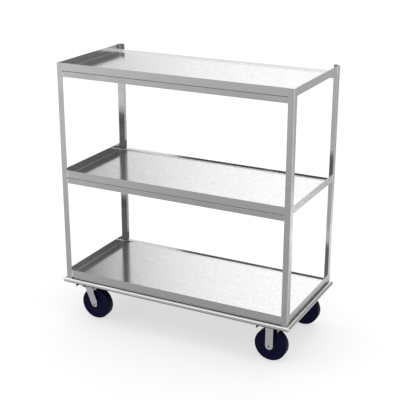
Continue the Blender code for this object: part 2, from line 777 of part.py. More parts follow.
def axle_mesh():
    """Axle bolt along Z: low round head with a socket below, thread end above."""
    face = -FORK_HALF_WIDTH - GAP
    head = face - AXLE_HEAD_HEIGHT
    tip = FORK_HALF_WIDTH + GAP + AXLE_NUT_HEIGHT + AXLE_TIP
    profile = [
        (0, head + AXLE_SOCKET_DEPTH),
        (AXLE_SOCKET_RADIUS, head + AXLE_SOCKET_DEPTH),
        (AXLE_SOCKET_RADIUS, head),
        (AXLE_RADIUS, head),
        (AXLE_HEAD_RADIUS, face - AXLE_HEAD_HEIGHT / 2),
        (AXLE_HEAD_RADIUS, face),
        (AXLE_RADIUS, face),
        (AXLE_RADIUS, tip),
        (0, tip),
    ]
    return turned(profile, SHAFT_FACETS)


def nut_mesh(hex_size, bore, bottom, top):
    """Hexagonal nut along Z."""
    blank = rod(hex_size / 2, bottom, top, HEX_FACETS, around_flats=True)
    hole = rod(bore, bottom - OVERRUN, top + OVERRUN, SHAFT_FACETS, around_flats=True)
    return combined(blank, ("DIFFERENCE", hole))


def build_wheel_set(corner, meshes, surfaces, centre, sign, parent):
    """Wheel, bearing, bushing, axle and nut. The axle's head faces outward."""
    turn = (sign * math.pi / 2, 0, 0)
    piece(f"wheel_{corner}", meshes["wheel"], surfaces["tread"], centre, turn, parent)
    piece(f"roller_bearing_{corner}", meshes["bearing"], surfaces["bearing"], centre, turn, parent)
    piece(f"spanner_bushing_{corner}", meshes["bushing"], surfaces["bearing"], centre, turn, parent)
    piece(f"axle_bolt_{corner}", meshes["axle"], surfaces["zinc"], centre, turn, parent)
    piece(f"axle_nut_{corner}", meshes["nut"], surfaces["zinc"], centre, turn, parent)


def build_casters(surfaces):
    nut_start = FORK_HALF_WIDTH + GAP
    wheel_set = {
        "wheel": wheel_mesh(),
        "bearing": roller_bearing_mesh(),
        "bushing": bushing_mesh(),
        "axle": axle_mesh(),
        "nut": nut_mesh(AXLE_NUT_HEX, AXLE_RADIUS + GAP, nut_start, nut_start + AXLE_NUT_HEIGHT),
    }
    plate = swivel_plate_mesh()
    balls = ball_ring_mesh()
    swivel_fork = swivel_fork_mesh()
    kingpin = turned(kingpin_profile(0), SHAFT_FACETS)
    nut_top = SWIVEL_CROWN_BOTTOM - GAP
    kingpin_nut = nut_mesh(KINGPIN_NUT_HEX, KINGPIN_RADIUS + GAP, nut_top - KINGPIN_NUT_HEIGHT, nut_top)
    rigid_fork = rigid_fork_mesh()
    for side, sign in SIDES.items():
        left = axis_point(f"swivel_axis_{side}_left", (-CASTER_X, sign * CASTER_Y, 0))
        corner = f"{side}_left"
        piece(f"swivel_plate_{corner}", plate, surfaces["zinc"], parent=left)
        piece(f"swivel_balls_{corner}", balls, surfaces["bearing"], parent=left)
        piece(f"swivel_fork_{corner}", swivel_fork, surfaces["zinc"], parent=left)
        piece(f"kingpin_{corner}", kingpin, surfaces["zinc"], parent=left)
        piece(f"kingpin_nut_{corner}", kingpin_nut, surfaces["zinc"], parent=left)
        build_wheel_set(corner, wheel_set, surfaces, (SWIVEL_TRAIL, 0, WHEEL_RADIUS), sign, left)
        right = axis_point(f"rigid_centre_{side}_right", (CASTER_X, sign * CASTER_Y, 0))
        corner = f"{side}_right"
        piece(f"rigid_fork_{corner}", rigid_fork, surfaces["zinc"], parent=right)
        build_wheel_set(corner, wheel_set, surfaces, (0, 0, WHEEL_RADIUS), sign, right)


for leftover in list(bpy.data.objects):
    bpy.data.objects.remove(leftover)

SURFACES = {
    "stainless": material("stainless", (0.60, 0.60, 0.60), 0.28, 1.0),
    "bumper": material("bumper", (0.72, 0.72, 0.72), 0.22, 1.0),
    "zinc": material("zinc", (0.55, 0.55, 0.53), 0.35, 1.0),
    "bearing": material("bearing", (0.45, 0.45, 0.46), 0.30, 1.0),
    "tread": material("tread", (0.010, 0.009, 0.022), 0.45, 0.0),
}
build_posts(SURFACES["stainless"])
build_trays(SURFACES["stainless"])
build_shelf_rails(SURFACES["stainless"])
build_base_rails(SURFACES["stainless"])
build_bumpers(SURFACES["bumper"])
build_channels(SURFACES["stainless"])
build_casters(SURFACES)
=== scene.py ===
"""Banquet cart: the finished look of its pieces, the floor it stands on, the light and the camera.

Metres, +Z up, X along the cart with the swivel casters at -X, front at -Y.
"""

import json
import math

import bmesh
import bpy
from mathutils import Matrix, Vector

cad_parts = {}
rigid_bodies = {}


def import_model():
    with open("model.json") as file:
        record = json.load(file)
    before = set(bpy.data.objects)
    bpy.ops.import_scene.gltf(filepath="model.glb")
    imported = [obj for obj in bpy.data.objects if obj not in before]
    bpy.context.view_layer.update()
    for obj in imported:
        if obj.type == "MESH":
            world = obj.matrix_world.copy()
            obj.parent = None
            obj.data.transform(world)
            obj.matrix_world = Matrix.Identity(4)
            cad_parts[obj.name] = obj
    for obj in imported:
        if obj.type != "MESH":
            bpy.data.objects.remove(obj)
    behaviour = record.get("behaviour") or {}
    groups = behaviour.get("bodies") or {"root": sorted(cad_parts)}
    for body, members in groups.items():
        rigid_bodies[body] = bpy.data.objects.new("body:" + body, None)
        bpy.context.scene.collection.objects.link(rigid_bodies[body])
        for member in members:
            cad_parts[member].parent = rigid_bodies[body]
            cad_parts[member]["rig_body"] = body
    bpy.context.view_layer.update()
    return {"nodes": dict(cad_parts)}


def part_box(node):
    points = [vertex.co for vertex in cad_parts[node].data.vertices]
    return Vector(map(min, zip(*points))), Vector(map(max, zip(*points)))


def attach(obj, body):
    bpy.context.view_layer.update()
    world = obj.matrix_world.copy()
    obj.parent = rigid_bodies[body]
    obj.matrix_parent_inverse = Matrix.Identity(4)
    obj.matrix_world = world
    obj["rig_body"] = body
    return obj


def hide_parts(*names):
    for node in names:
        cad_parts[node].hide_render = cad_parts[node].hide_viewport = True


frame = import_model()


# Corner posts
# Equal angle of stainless steel, 38 mm legs and 4 mm walls, the corner outward. Cold formed, then belted with a fine
# abrasive along its length, cut square at both ends and welded to the trays.

def linear(code):
    """A colour written as sRGB hex, as linear light."""
    parts = [int(code[place:place + 2], 16) / 255 for place in (1, 3, 5)]
    return (*(part / 12.92 if part <= 0.04045 else ((part + 0.055) / 1.055) ** 2.4 for part in parts), 1)


def add_node(tree, kind, inputs=None, **settings):
    """One node with its settings. An input that is a socket is linked, any other is set."""
    made = tree.nodes.new(kind)
    for name, value in settings.items():
        setattr(made, name, value)
    for key, value in (inputs or {}).items():
        if isinstance(value, bpy.types.NodeSocket):
            tree.links.new(value, made.inputs[key])
        else:
            made.inputs[key].default_value = value
    return made


def new_finish(name, **fixed):
    """An empty material with its shader, whose fixed values stay on its own sockets."""
    finish = bpy.data.materials.new(name)
    finish.use_nodes = True
    tree = finish.node_tree
    tree.nodes.clear()
    shader = add_node(tree, "ShaderNodeBsdfPrincipled", {key.replace("_", " "): value for key, value in fixed.items()})
    add_node(tree, "ShaderNodeOutputMaterial", {"Surface": shader.outputs["BSDF"]})
    return finish, tree, shader


LINE_STRETCH = 120  # a belted line is this many times as long as it is wide


def belted_steel(name, along, colour, shadow, roughness, grain_mm=1.2):
    """Stainless steel belted along one axis: fine long lines, a slow drift of tone, a little duller in patches.

    The real lines are 0.1 to 0.2 mm apart. They are drawn grain_mm apart, which is as fine as a close view shows.
    """
    finish, tree, shader = new_finish(name, Metallic=1.0)
    place = add_node(tree, "ShaderNodeTexCoord").outputs["Object"]
    fine = 1 / (grain_mm / 1000)
    stretch = [fine if axis != along else fine / LINE_STRETCH for axis in "XYZ"]
    lines = add_node(tree, "ShaderNodeMapping", {"Vector": place, "Scale": stretch})
    grain = add_node(tree, "ShaderNodeTexNoise", {"Vector": lines.outputs[0], "Scale": 1.0, "Detail": 3.0,
                                                  "Roughness": 0.6})
    drift = add_node(tree, "ShaderNodeTexNoise", {"Vector": place, "Scale": 9.0, "Detail": 2.0})
    tone = add_node(tree, "ShaderNodeMath", {0: grain.outputs["Fac"], 1: 0.45, 2: drift.outputs["Fac"]},
                    operation="MULTIPLY_ADD")
    mix = add_node(tree, "ShaderNodeMapRange", {"Value": tone.outputs[0], "From Min": 0.35, "From Max": 1.05})
    blend = add_node(tree, "ShaderNodeMix", {0: mix.outputs[0], 6: linear(shadow), 7: linear(colour)}, data_type="RGBA")
    tree.links.new(blend.outputs[2], shader.inputs["Base Color"])
    rough = add_node(tree, "ShaderNodeMapRange", {"Value": tone.outputs[0], "From Min": 0.35, "From Max": 1.05,
                                                  "To Min": roughness + 0.06, "To Max": roughness - 0.03})
    tree.links.new(rough.outputs[0], shader.inputs["Roughness"])
    bump = add_node(tree, "ShaderNodeBump", {"Height": grain.outputs["Fac"], "Strength": 0.10, "Distance": 0.0002})
    tree.links.new(bump.outputs[0], shader.inputs["Normal"])
    return finish


JOINED_WITHIN = 0.00002           # points of the CAD's loose triangles nearer than this are one point
ONE_FLAT = math.radians(0.5)      # and triangles that differ by less than this are one flat
BREAK_ANGLE = math.radians(30)    # an edge sharper than this is broken
BREAK_SEGMENTS = 2


def refined(node, edge, reshape=None):
    """A copy of a CAD node with its loose triangles joined and its sharp edges broken by a small round.

    Its flats keep their own direction, and the shading turns only in the bends and rounds between them.
    """
    mesh = frame["nodes"][node].data.copy()
    mesh.materials.clear()
    shape = bmesh.new()
    shape.from_mesh(mesh)
    bmesh.ops.remove_doubles(shape, verts=shape.verts, dist=JOINED_WITHIN)
    bmesh.ops.dissolve_limit(shape, angle_limit=ONE_FLAT, verts=shape.verts, edges=shape.edges)
    shape.to_mesh(mesh)
    shape.free()
    if reshape:
        reshape(mesh, node)
    mesh.shade_smooth()
    item = bpy.data.objects.new(f"fine_{node}", mesh)
    bpy.context.scene.collection.objects.link(item)
    round_over = item.modifiers.new("broken edge", "BEVEL")
    round_over.width = edge
    round_over.segments = BREAK_SEGMENTS
    round_over.limit_method = "ANGLE"
    round_over.angle_limit = BREAK_ANGLE
    round_over.use_clamp_overlap = True
    round_over.harden_normals = False
    true_flats = item.modifiers.new("true flats", "WEIGHTED_NORMAL")
    true_flats.mode = "FACE_AREA"
    true_flats.weight = 100
    settled = bpy.data.meshes.new_from_object(item.evaluated_get(bpy.context.evaluated_depsgraph_get()))
    item.modifiers.clear()
    item.data = settled
    return item


def fitted(item, node, finish):
    """The piece stands for its CAD node, rides on the same body and wears one finish."""
    item.data.materials.clear()
    item.data.materials.append(finish)
    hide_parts(node)
    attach(item, frame["nodes"][node]["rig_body"])
    return item


POST_STEEL = belted_steel("belted_stainless_angle_upright", "Z", "#dcdcdc", "#cfcfcf", 0.11)
for corner in ("front_left", "front_right", "rear_right", "rear_left"):
    fitted(refined(f"post_{corner}", edge=0.0006), f"post_{corner}", POST_STEEL)


# Base frame
# Four channels, mitred and welded, and two inverted cross channels over the casters. Stainless steel, belted along
# each length: the long rails as bright as the posts, the crosswise lengths duller. The cross channels' insides and cut
# ends are painted near black, as painted shade.

RAIL_STEEL_X = belted_steel("belted_stainless_rail_lengthwise", "X", "#dadada", "#cdcdcd", 0.12)
RAIL_STEEL_Y = belted_steel("belted_stainless_rail_crosswise", "Y", "#dadada", "#cdcdcd", 0.34)
for side, steel in (("front", RAIL_STEEL_X), ("rear", RAIL_STEEL_X), ("left", RAIL_STEEL_Y), ("right", RAIL_STEEL_Y)):
    fitted(refined(f"base_rail_{side}", edge=0.0005), f"base_rail_{side}", steel)


def painted_shade_clouds(name, dark, light, metallic=0.6, roughness=0.6):
    """A dark matt finish in clouds 10 to 25 mm across, used as painted shade on faces where shade falls."""
    finish, tree, shader = new_finish(name, Metallic=metallic, Roughness=roughness)
    place = add_node(tree, "ShaderNodeTexCoord").outputs["Object"]
    clouds = add_node(tree, "ShaderNodeTexNoise", {"Vector": place, "Scale": 45.0, "Detail": 4.0})
    tone = add_node(tree, "ShaderNodeMix", {0: clouds.outputs["Fac"], 6: linear(dark), 7: linear(light)},
                    data_type="RGBA")
    tree.links.new(tone.outputs[2], shader.inputs["Base Color"])
    return finish


def second_finish(item, finish, wears_it):
    """Gives a second finish, painted shade in every use here, to those faces of a piece that the test picks."""
    item.data.materials.append(finish)
    for face in item.data.polygons:
        if wears_it(face):
            face.material_index = 1


# Painted shade: the cross channels' insides and cut ends are painted near black, where shade falls.
CHANNEL_PAINTED_SHADE = painted_shade_clouds("painted_shade_inside_channel", "#1c1c1e", "#39393b")


def in_the_channel(face, middle, half):
    """A cut end, or a face that looks inwards or down and lies inside the flanges' outer faces: these get painted
    shade.
    """
    inward = (middle - face.center.x) * face.normal.x > 0.0005 or face.normal.z < -0.9
    inside = abs(face.center.x - middle) < half - 0.0002
    return abs(face.normal.y) > 0.9 or (inward and inside)


for side in ("left", "right"):
    node = f"caster_channel_{side}"
    low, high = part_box(node)
    middle, half = (low[0] + high[0]) / 2, (high[0] - low[0]) / 2
    channel = fitted(refined(node, edge=0.0006), node, RAIL_STEEL_Y)
    second_finish(channel, CHANNEL_PAINTED_SHADE, lambda face: in_the_channel(face, middle, half))


# Bumper
# Four lengths of half-round stainless section, bent round small corners, mitred and welded. The long ones are polished
# brighter than the frame, the ends are scuffed where they meet walls and painted lighter still, as painted light, and
# the underside is painted dark, as painted shade.

BUMPER_SHOWN = 0.028


def slimmer(mesh, node):
    """The section 28 mm tall instead of the CAD's 32 mm: its underside lies higher, its top stays."""
    low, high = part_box(node)
    for point in mesh.vertices:
        point.co.z = high[2] - (high[2] - point.co.z) * BUMPER_SHOWN / (high[2] - low[2])
    mesh.update()


BUMPER_STEEL_X = belted_steel("polished_stainless_bumper_lengthwise", "X", "#e6e6e6", "#dadada", 0.13)
# Painted light: the crosswise bumper lengths are painted lighter than the long ones.
BUMPER_STEEL_Y_PAINTED_LIGHTER = belted_steel("scuffed_stainless_bumper_crosswise_painted_lighter", "Y", "#f4f4f4", "#e8e8e8", 0.26)
# Painted shade: the bumper's downward faces are painted dark.
BUMPER_UNDERSIDE_SHADE = painted_shade_clouds("drawn_stainless_left_dull", "#343436", "#464648", 0.9, 0.45)
for side, steel in (("front", BUMPER_STEEL_X), ("rear", BUMPER_STEEL_X),
                    ("left", BUMPER_STEEL_Y_PAINTED_LIGHTER), ("right", BUMPER_STEEL_Y_PAINTED_LIGHTER)):
    bumper = fitted(refined(f"bumper_{side}", edge=0.0005, reshape=slimmer), f"bumper_{side}", steel)
    second_finish(bumper, BUMPER_UNDERSIDE_SHADE, lambda face: face.normal.z < -0.25)


# Trays
# One stainless sheet each, 1.6 mm, folded up at the front and both ends and into a low lip at the rear. The sheet is
# polished in the mill across its width, which leaves long soft streaks from front to rear. Its underside is dull and
# painted dark, as painted shade.

def polished_sheet(name):
    """Stainless sheet with a long grain from front to rear, bright enough to mirror what stands on it.

    The soft streaks are some 6 mm wide and 60 mm long. The fine lines are 0.2 mm on the real sheet, drawn 1.5 mm.
    """
    finish, tree, shader = new_finish(name, Metallic=1.0)
    place = add_node(tree, "ShaderNodeTexCoord").outputs["Object"]
    wide = add_node(tree, "ShaderNodeMapping", {"Vector": place, "Scale": (170.0, 17.0, 170.0)})
    streaks = add_node(tree, "ShaderNodeTexNoise", {"Vector": wide.outputs[0], "Scale": 1.0, "Detail": 3.0,
                                                    "Roughness": 0.55})
    thin = add_node(tree, "ShaderNodeMapping", {"Vector": place, "Scale": (660.0, 9.0, 660.0)})
    grain = add_node(tree, "ShaderNodeTexNoise", {"Vector": thin.outputs[0], "Scale": 1.0, "Detail": 2.0})
    spread = add_node(tree, "ShaderNodeMapRange", {"Value": streaks.outputs["Fac"], "From Min": 0.32, "From Max": 0.68})
    tone = add_node(tree, "ShaderNodeMix", {0: spread.outputs[0], 6: linear("#d0d0d0"), 7: linear("#e1e1e1")},
                    data_type="RGBA")
    tree.links.new(tone.outputs[2], shader.inputs["Base Color"])
    rough = add_node(tree, "ShaderNodeMapRange", {"Value": spread.outputs[0], "To Min": 0.17, "To Max": 0.11})
    tree.links.new(rough.outputs[0], shader.inputs["Roughness"])
    waves = add_node(tree, "ShaderNodeBump", {"Height": streaks.outputs["Fac"], "Strength": 0.12, "Distance": 0.0003})
    lines = add_node(tree, "ShaderNodeBump", {"Height": grain.outputs["Fac"], "Strength": 0.08, "Distance": 0.0002,
                                              "Normal": waves.outputs[0]})
    tree.links.new(lines.outputs[0], shader.inputs["Normal"])
    return finish


LIP_TOP = 0.0131            # the lip's top over the sheet's underside
LIP_RUN = 0.010             # how far the slope reaches in from the lip's outer face
LIP_PLAY = 0.0003           # a point this near the CAD's bend lies on it
SHEET_THICKNESS = 0.0016


def slope_lip(mesh, node):
    """The rear bend opened to a slope of some 53 degrees, as the real lip has, where the CAD's bend is round."""
    low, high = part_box(node)
    for point in mesh.vertices:
        height = point.co.z - low[2]
        inset = high[1] - point.co.y
        if height > LIP_TOP or inset > LIP_RUN + LIP_PLAY:
            continue
        for offset in (0, SHEET_THICKNESS):
            radius = LIP_RUN - offset
            rise = height - offset
            bend = offset + radius - math.sqrt(max(radius ** 2 - max(radius - rise, 0) ** 2, 0))
            if abs(bend - inset) < LIP_PLAY:
                slope = offset + radius * (1 - rise / (LIP_TOP - offset))
                point.co.y -= slope - bend
                break
    mesh.update()


SHEET = polished_sheet("mill_polished_stainless_sheet")
# Painted shade: the trays' downward faces are painted dark.
TRAY_UNDERSIDE_SHADE = painted_shade_clouds("painted_shade_under_stainless_sheet", "#6a6a6c", "#828284", 0.9, 0.45)
for level in ("bottom", "middle", "top"):
    tray = fitted(refined(f"tray_{level}", edge=0.0004, reshape=slope_lip), f"tray_{level}", SHEET)
    second_finish(tray, TRAY_UNDERSIDE_SHADE, lambda face: face.normal.z < -0.5)
    fitted(refined(f"tray_stiffener_{level}", edge=0.0004), f"tray_stiffener_{level}", RAIL_STEEL_Y)


# Shelf rails
# Stainless angle, 34 by 25 mm, welded under the long edges of the upper two trays, its face flush with the tray's.

for level in ("middle", "top"):
    for side in ("front", "rear"):
        node = f"shelf_rail_{level}_{side}"
        fitted(refined(node, edge=0.0004), node, RAIL_STEEL_X)


# Welds
# Short fillet welds, 4 mm, run up each post's cut edges where they lie on a tray or a shelf rail. Laid by hand, then
# wire brushed: fine overlapping ripples on a slightly swollen face, brighter than the belted steel beside them.

def brushed_weld(name):
    """Wire-brushed stainless weld metal: bright, fairly rough, with fine scratches every 0.7 mm or so."""
    finish, tree, shader = new_finish(name, Metallic=1.0)
    place = add_node(tree, "ShaderNodeTexCoord").outputs["Object"]
    scratches = add_node(tree, "ShaderNodeTexNoise", {"Vector": place, "Scale": 700.0, "Detail": 3.0})
    tone = add_node(tree, "ShaderNodeMix", {0: scratches.outputs["Fac"], 6: linear("#b9b9b7"), 7: linear("#dededc")},
                    data_type="RGBA")
    tree.links.new(tone.outputs[2], shader.inputs["Base Color"])
    rough = add_node(tree, "ShaderNodeMapRange", {"Value": scratches.outputs["Fac"], "To Min": 0.34, "To Max": 0.22})
    tree.links.new(rough.outputs[0], shader.inputs["Roughness"])
    return finish


WELD_LEG = 0.0040
WELD_LEAN = 0.85            # the leg on the post's edge, as a share of the leg on the sheet
WELD_PITCH = 0.0022         # from one ripple to the next
WELD_RIPPLE = 0.08          # how much larger a ripple's crest is
WELD_SWELL = 0.0003         # how far the face stands out
WELD_END = 0.4              # the size of the bead where it starts and stops
TRAY_WELD_INSET = 0.0030    # a bead stops this far from the tray's top and bottom
RAIL_WELD_FOOT = 0.0020     # and this far from the shelf rail's
RAIL_WELD_TOP = 0.0015
POST_LEG = 0.0381
POST_WALL = 0.0040
POST_GAP = 0.0003           # between post and tray


def weld(shape, root, along_sheet, along_edge, foot, top):
    """One upright bead in the corner at root, its legs along the sheet and along the post's edge."""
    steps = max(2, round((top - foot) / WELD_PITCH))
    rings = []
    for step in range(2 * steps + 1):
        z = foot + (top - foot) * step / (2 * steps)
        end = WELD_END if step in (0, 2 * steps) else 1.0
        swell = end * (1.0 + (WELD_RIPPLE if step % 2 else 0.0))
        ring = [Vector((root[0], root[1], z))]
        for degrees in (0, 22.5, 45, 67.5, 90):
            angle = math.radians(degrees)
            across, up = math.cos(angle), math.sin(angle)
            bulge = 1 / (across + up) + (WELD_SWELL / WELD_LEG) * math.sin(2 * angle)
            reach = WELD_LEG * bulge * swell
            ring.append(Vector((root[0] + reach * (across * along_sheet[0] + up * along_edge[0]),
                                root[1] + reach * (across * along_sheet[1] + up * along_edge[1]), z)))
        rings.append([shape.verts.new(point) for point in ring])
    for lower, upper in zip(rings, rings[1:]):
        for index in range(len(lower)):
            after = (index + 1) % len(lower)
            shape.faces.new((lower[index], lower[after], upper[after], upper[index]))
    shape.faces.new(rings[0][::-1])
    shape.faces.new(rings[-1])


beads = bmesh.new()
for level in ("bottom", "middle", "top"):
    low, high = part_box(f"tray_{level}")
    bands = {"sheet": (low[2] + TRAY_WELD_INSET, high[2] - TRAY_WELD_INSET)}
    if level != "bottom":
        rail_low, rail_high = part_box(f"shelf_rail_{level}_front")
        bands["rail"] = (rail_low[2] + RAIL_WELD_FOOT, rail_high[2] - RAIL_WELD_TOP)
    for side_x in (-1, 1):
        for side_y in (-1, 1):
            face_x, face_y = side_x * high[0], side_y * high[1]
            edge_x = side_x * (high[0] + POST_GAP + POST_WALL - POST_LEG)
            edge_y = side_y * (high[1] + POST_GAP + POST_WALL - POST_LEG)
            for band, (foot, top) in bands.items():
                if band == "rail" or side_y < 0:
                    weld(beads, (edge_x, face_y), (-side_x, 0), (0, side_y * WELD_LEAN), foot, top)
            weld(beads, (face_x, edge_y), (0, -side_y), (side_x * WELD_LEAN, 0), *bands["sheet"])
bmesh.ops.recalc_face_normals(beads, faces=beads.faces)
bead_mesh = bpy.data.meshes.new("fillet_welds")
beads.to_mesh(bead_mesh)
beads.free()
bead_mesh.shade_smooth()
bead_mesh.set_sharp_from_angle(angle=math.radians(50))
bead_mesh.materials.append(brushed_weld("wire_brushed_weld_bead"))
fillet_welds = bpy.data.objects.new("fillet_welds", bead_mesh)
bpy.context.scene.collection.objects.link(fillet_welds)
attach(fillet_welds, "cart_frame")


# Caster plates and forks
# Pressed and welded from 6.5 mm mild steel, then zinc plated and passivated: a satin grey with a faint cloudy
# spangle, warmer than the stainless frame. The kingpin is riveted in and its nut sits under the crown.

def plated_steel(name, colour, cloud, roughness):
    """Zinc plate over pressed steel: cloudy patches 6 to 20 mm across, and a fine pebble from the plating bath."""
    finish, tree, shader = new_finish(name, Metallic=1.0)
    place = add_node(tree, "ShaderNodeTexCoord").outputs["Object"]
    patches = add_node(tree, "ShaderNodeTexNoise", {"Vector": place, "Scale": 70.0, "Detail": 4.0})
    pebble = add_node(tree, "ShaderNodeTexNoise", {"Vector": place, "Scale": 900.0, "Detail": 2.0})
    tone = add_node(tree, "ShaderNodeMix", {0: patches.outputs["Fac"], 6: linear(cloud), 7: linear(colour)},
                    data_type="RGBA")
    tree.links.new(tone.outputs[2], shader.inputs["Base Color"])
    rough = add_node(tree, "ShaderNodeMapRange", {"Value": patches.outputs["Fac"], "From Min": 0.3, "From Max": 0.7,
                                                  "To Min": roughness + 0.08, "To Max": roughness - 0.04})
    tree.links.new(rough.outputs[0], shader.inputs["Roughness"])
    bump = add_node(tree, "ShaderNodeBump", {"Height": pebble.outputs["Fac"], "Strength": 0.12, "Distance": 0.0003})
    tree.links.new(bump.outputs[0], shader.inputs["Normal"])
    return finish


CASTER_TOP = 0.241
FORK_PLATE = 0.0065
RACE_PLATE = 0.006
BOLT_SPACING_X = 0.092
BOLT_SPACING_Y = 0.0667
BOLT_CLEARED = 0.0092       # what lies this near a bolt's middle line, over or under the plate, is the bolt
PLATE_PLAY = 0.00005


def bolted_node(corner):
    """The node with the plate that is bolted to the channel: a swivel caster's plate or a rigid caster's fork."""
    return ("swivel_plate_" if corner.endswith("left") else "rigid_fork_") + corner


def plate_bottom(node):
    """The underside of the bolted plate."""
    return CASTER_TOP - (FORK_PLATE if "fork" in node else RACE_PLATE)


def plate_centre(node):
    """Where the middle of the bolted plate stands, seen from above."""
    low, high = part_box(node)
    return Vector(((low[0] + high[0]) / 2, (low[1] + high[1]) / 2))


def without_bolts(item, node):
    """The caster's plate with its bolts taken off, so that finer ones can be put in their place."""
    centre = plate_centre(node)
    spots = [Vector((side_x * BOLT_SPACING_X / 2, side_y * BOLT_SPACING_Y / 2))
             for side_x in (-1, 1) for side_y in (-1, 1)]
    shape = bmesh.new()
    shape.from_mesh(item.data)
    doomed = []
    for face in shape.faces:
        middle = face.calc_center_median()
        near = any((middle.xy - centre - spot).length < BOLT_CLEARED for spot in spots)
        if near and (middle.z > CASTER_TOP + PLATE_PLAY or middle.z < plate_bottom(node) - PLATE_PLAY):
            doomed.append(face)
    bmesh.ops.delete(shape, geom=doomed, context="FACES")
    rims = [edge for edge in shape.edges if edge.is_boundary]
    bmesh.ops.edgeloop_fill(shape, edges=rims)
    bmesh.ops.recalc_face_normals(shape, faces=shape.faces)
    shape.to_mesh(item.data)
    shape.free()
    return item


PLATED = plated_steel("zinc_plated_pressed_steel", "#e0e0e1", "#cdcdcf", 0.34)
for corner in ("front_left", "rear_left"):
    node = bolted_node(corner)
    fitted(without_bolts(refined(node, edge=0.0003), node), node, PLATED)
    for piece, edge in (("swivel_fork", 0.0007), ("kingpin", 0.0003), ("kingpin_nut", 0.0004)):
        fitted(refined(f"{piece}_{corner}", edge), f"{piece}_{corner}", PLATED)
for corner in ("front_right", "rear_right"):
    node = bolted_node(corner)
    fitted(without_bolts(refined(node, edge=0.0005), node), node, PLATED)


# Plate bolts
# Four zinc-plated hexagon bolts hold each caster up against its channel: washer-faced heads below the plate, nuts and
# a few turns of thread above the channel's web. Turned and rolled, chamfered at both ends.

SHARP = math.radians(28)    # turned pieces keep edges sharper than this, and their chamfers rise at the same angle


def lofted(name, rings, closed=False):
    """A closed skin through rings of points. A ring of one point is a pole. Closed, the last ring meets the first."""
    shape = bmesh.new()
    loops = [[shape.verts.new(point) for point in ring] for ring in rings]
    for lower, upper in zip(loops, loops[1:] + (loops[:1] if closed else [])):
        count = max(len(lower), len(upper))
        for index in range(count):
            after = (index + 1) % count
            quad = [lower[index % len(lower)], lower[after % len(lower)],
                    upper[after % len(upper)], upper[index % len(upper)]]
            shape.faces.new(list(dict.fromkeys(quad)))
    bmesh.ops.recalc_face_normals(shape, faces=shape.faces)
    mesh = bpy.data.meshes.new(name)
    shape.to_mesh(mesh)
    shape.free()
    mesh.shade_smooth()
    mesh.set_sharp_from_angle(angle=SHARP)
    item = bpy.data.objects.new(name, mesh)
    bpy.context.scene.collection.objects.link(item)
    return item


def round_ring(radius, z, count):
    """Points of a circle about Z, or the pole itself."""
    if radius == 0:
        return [(0, 0, z)]
    return [(radius * math.cos(math.tau * step / count), radius * math.sin(math.tau * step / count), z)
            for step in range(count)]


def hexagon_ring(flats, z, count, fall=0.0):
    """Points of a hexagon across its flats. With a fall, its corners are chamfered by that slope."""
    points = []
    for step in range(count):
        angle = math.tau * step / count
        radius = flats / 2 / math.cos((angle + math.pi / 6) % (math.pi / 3) - math.pi / 6)
        points.append((radius * math.cos(angle), radius * math.sin(angle), z - fall * (radius - flats / 2)))
    return points


HEX_POINTS = 36             # points round a hexagon, so that its chamfers curve
CHAMFER = math.tan(SHARP)
CHAMFER_FLAT = 0.96         # the flat part of a chamfered face, as a share of the width across flats
WASHER_FACE = 0.97          # the round face that bears on the plate, as such a share
BOLT_FLATS = 0.0143
BOLT_SHANK = 0.0048
BOLT_HEAD = 0.0060
NUT_FOOT = 0.2456
NUT_TOP = 0.2536
BOLT_TIP = 0.2556
THREAD_PITCH = 0.001        # finer than the real 1.6 mm, so that two turns show over the nut


def bolt_rings(head_foot, head_top):
    """Head, shank, nut and thread end of one bolt, from its foot upwards."""
    washer = BOLT_FLATS / 2 * WASHER_FACE
    flat = BOLT_FLATS / 2 * CHAMFER_FLAT
    rings = [
        round_ring(0, head_foot, HEX_POINTS),
        round_ring(flat, head_foot, HEX_POINTS),
        hexagon_ring(BOLT_FLATS, head_foot, HEX_POINTS, -CHAMFER),
        hexagon_ring(BOLT_FLATS, head_top - 0.0005, HEX_POINTS),
        round_ring(washer, head_top - 0.0005, HEX_POINTS),
        round_ring(washer, head_top, HEX_POINTS),
        round_ring(BOLT_SHANK, head_top, HEX_POINTS),
        round_ring(BOLT_SHANK, NUT_FOOT, HEX_POINTS),
        round_ring(washer, NUT_FOOT, HEX_POINTS),
        hexagon_ring(BOLT_FLATS, NUT_FOOT + 0.0003, HEX_POINTS, -CHAMFER),
        hexagon_ring(BOLT_FLATS, NUT_TOP, HEX_POINTS, CHAMFER),
        round_ring(flat, NUT_TOP, HEX_POINTS),
        round_ring(BOLT_SHANK, NUT_TOP - 0.0004, HEX_POINTS),
    ]
    z = NUT_TOP - 0.0002
    while z < BOLT_TIP - 0.0009:
        rings.append(round_ring(BOLT_SHANK * 0.9, z, HEX_POINTS))
        rings.append(round_ring(BOLT_SHANK, z + THREAD_PITCH / 2, HEX_POINTS))
        z += THREAD_PITCH
    rings.append(round_ring(BOLT_SHANK * 0.85, BOLT_TIP, HEX_POINTS))
    rings.append(round_ring(0, BOLT_TIP, HEX_POINTS))
    return rings


def new_maker(name, inputs):
    """An empty geometry tree with named inputs, and the sockets that hand them in."""
    tree = bpy.data.node_groups.new(name, "GeometryNodeTree")
    tree.interface.new_socket("Geometry", in_out="INPUT", socket_type="NodeSocketGeometry")
    for label, kind in inputs.items():
        tree.interface.new_socket(label, in_out="INPUT", socket_type=f"NodeSocket{kind}")
    tree.interface.new_socket("Geometry", in_out="OUTPUT", socket_type="NodeSocketGeometry")
    return tree, add_node(tree, "NodeGroupInput").outputs


def end_maker(tree, copies, finish):
    """Ends a geometry tree: its copies are made real and given their material."""
    real = add_node(tree, "GeometryNodeRealizeInstances", {"Geometry": copies})
    clad = add_node(tree, "GeometryNodeSetMaterial", {"Geometry": real.outputs[0], "Material": finish})
    add_node(tree, "NodeGroupOutput", {0: clad.outputs[0]})
    return tree


